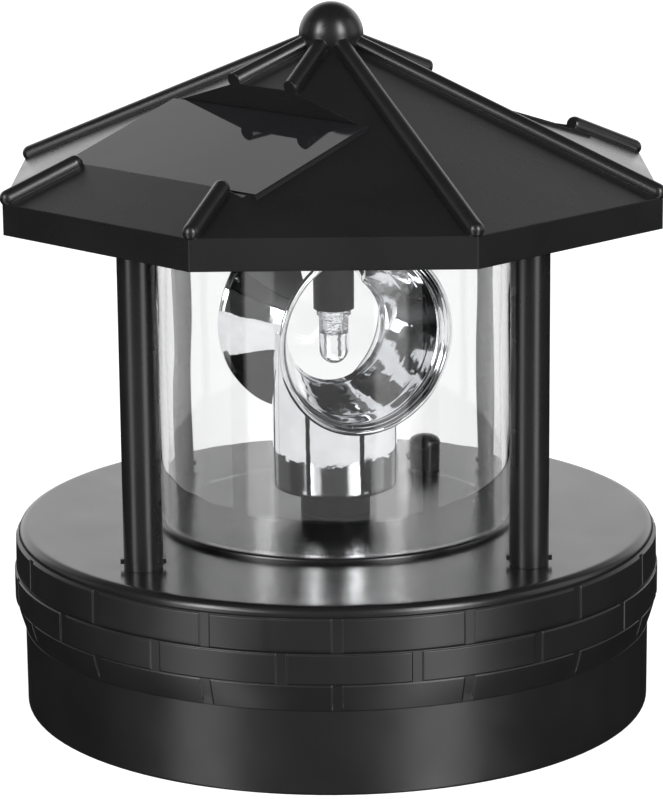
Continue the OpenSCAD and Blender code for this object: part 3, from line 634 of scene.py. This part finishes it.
# Soft cards round the object: (azimuth, half width, lowest, highest, soft edge, level), all but the
# level in degrees. Azimuth 0 is the front and grows towards +X.
CARDS = (
    (180, 50, -3, 27, 10, 1.0),
    (180, 88, -3, 27, 6, 0.3),
    (180, 60, 27, 39, 8, 0.5),
    (180, 60, 39, 54, 6, 0.04),
    (-49, 10.5, -60, 48, 5, 2.3),
    (37, 11, -60, 48, 5, 3.0),
    (-49, 5, 8, 38, 3, 12.0),
    (38, 5, 8, 38, 3, 12.0),
    (-38, 11, 9, 26, 4, 5.0),
    (36, 12, 9, 26, 4, 5.0),
    (0, 38, -25, 45, 8, 0.2),
    (86, 16, -3, 39, 5, 0.85),
)
AMBIENT = 0.04                          # level of the whole sky above the horizon


def add_world():
    world = bpy.data.worlds.new("studio")
    bpy.context.scene.world = world
    world.use_nodes = True
    tree = world.node_tree

    def math_node(operation, *values):
        node = tree.nodes.new("ShaderNodeMath")
        node.operation = operation
        for slot, value in zip(node.inputs, values):
            if isinstance(value, (int, float)):
                slot.default_value = value
            else:
                tree.links.new(value, slot)
        return node.outputs[0]

    def step(value, edge, width):
        node = tree.nodes.new("ShaderNodeMapRange")
        node.interpolation_type = "SMOOTHSTEP"
        node.inputs["From Min"].default_value = math.radians(edge - width / 2)
        node.inputs["From Max"].default_value = math.radians(edge + width / 2)
        tree.links.new(value, node.inputs["Value"])
        return node.outputs["Result"]

    place = tree.nodes.new("ShaderNodeTexCoord")
    split = tree.nodes.new("ShaderNodeSeparateXYZ")
    tree.links.new(place.outputs["Generated"], split.inputs["Vector"])
    x, y, z = (split.outputs[axis] for axis in "XYZ")
    azimuth = math_node("ARCTAN2", x, math_node("MULTIPLY", y, -1.0))
    height = math_node("ARCSINE", z)
    total = math_node("MULTIPLY", step(height, 0, 4), AMBIENT)
    for centre, half, low, high, soft, level in CARDS:
        turn = math_node("SUBTRACT", azimuth, math.radians(centre))
        off = math_node("ARCCOSINE", math_node("COSINE", turn))
        inside = math_node("SUBTRACT", 1.0, step(off, half, soft))
        over = step(height, low, soft)
        under = math_node("SUBTRACT", 1.0, step(height, high, soft))
        card = math_node("MULTIPLY", math_node("MULTIPLY", inside, over), under)
        total = math_node("ADD", total, math_node("MULTIPLY", card, level))
    background = tree.nodes["Background"]
    tree.links.new(total, background.inputs["Strength"])
    background.inputs["Color"].default_value = (1, 1, 1, 1)


BOX_SIZE = (0.4, 0.5)                   # metres
BOX_AWAY = 1.0
BOX_WATTS = 3
BOX_HEIGHT = 25                         # degrees above level
BOX_TARGET = Vector((0, 0, 0.06))


def add_light(name, azimuth):
    """A soft box at an azimuth in degrees from the front (-Y) towards +X."""
    data = bpy.data.lights.new(name, "AREA")
    data.shape = "RECTANGLE"
    data.size, data.size_y = BOX_SIZE
    data.energy = BOX_WATTS
    light = bpy.data.objects.new(name, data)
    bpy.context.scene.collection.objects.link(light)
    x, y = compass(azimuth)
    rise = math.radians(BOX_HEIGHT)
    out = Vector((x * math.cos(rise), y * math.cos(rise), math.sin(rise)))
    light.location = BOX_TARGET + out * BOX_AWAY
    light.rotation_mode = "QUATERNION"
    light.rotation_quaternion = out.to_track_quat("Z", "Y")
    light.visible_glossy = False


add_camera()
dress_cad_nodes()
add_base_cover()
add_reflector()
add_lens()
add_led_frame()
add_led_core()
add_stage()
add_world()
add_light("left_box", -50)
add_light("right_box", 50)
bpy.context.scene.view_settings.view_transform = "Standard"
